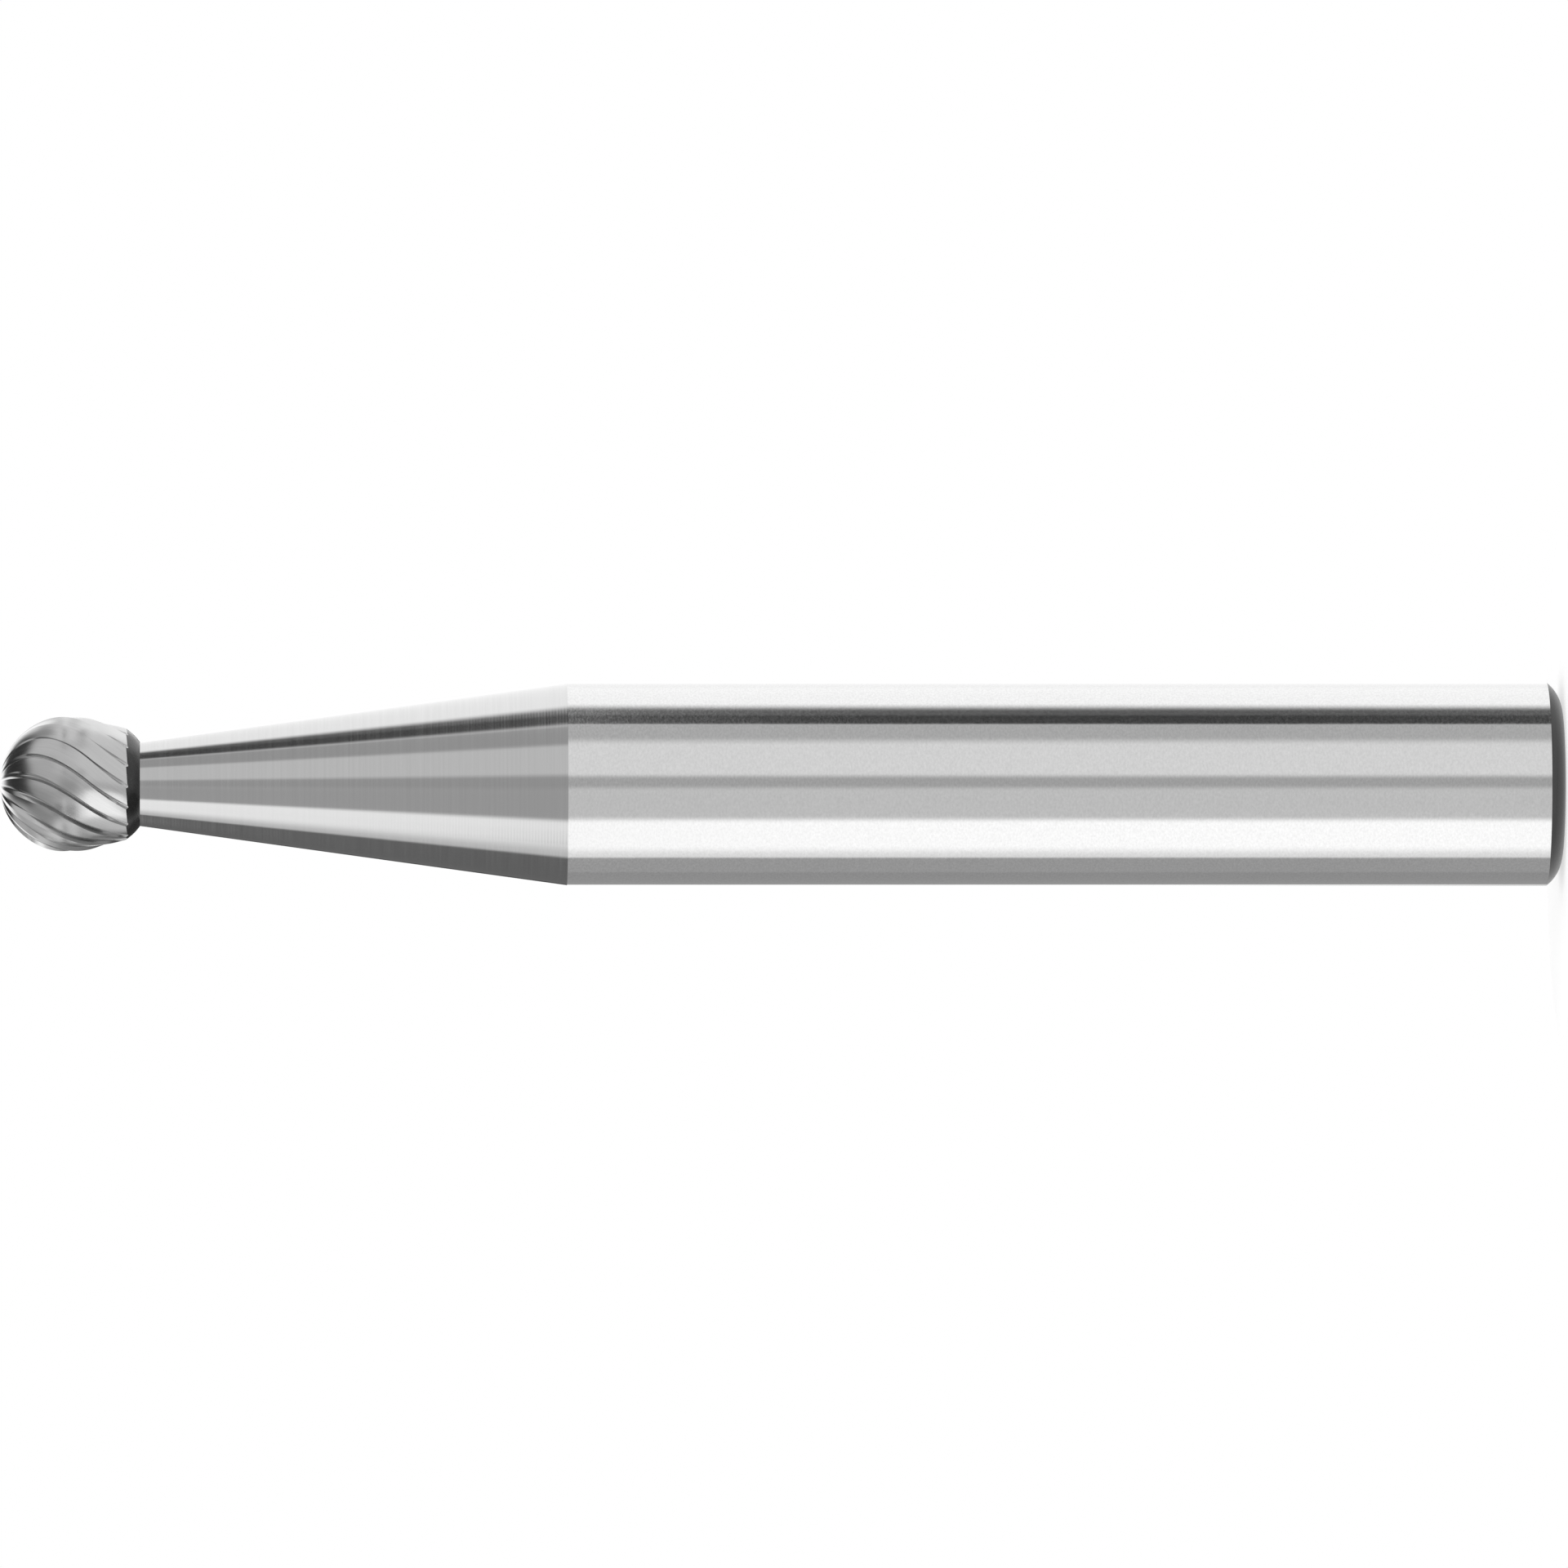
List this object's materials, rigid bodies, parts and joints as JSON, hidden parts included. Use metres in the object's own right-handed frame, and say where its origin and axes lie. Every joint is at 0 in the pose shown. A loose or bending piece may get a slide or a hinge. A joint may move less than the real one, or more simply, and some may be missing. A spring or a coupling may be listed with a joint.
{
  "type": "carbide burr",
  "caption": "Rotary burr: a fluted ball head of tungsten carbide brazed to a tapered neck and straight round shank of steel.",
  "frame": {"origin": "centre of the flat end face of the shank, on which the burr stands", "axes": "+Z along the axis of rotation, from the shank's end towards the ball head"},
  "size_m": [0.006, 0.006, 0.0461],
  "materials": {
    "carbide": "ground tungsten carbide, satin on the teeth, black and unground on the back chamfer",
    "shank_steel": "bright ground cylinder with a duller fine-turned taper and a dark rounded end"
  },
  "bodies": {
    "root": {"carbide_head": "carbide", "steel_shank": "shank_steel"}
  },
  "joints": []
}
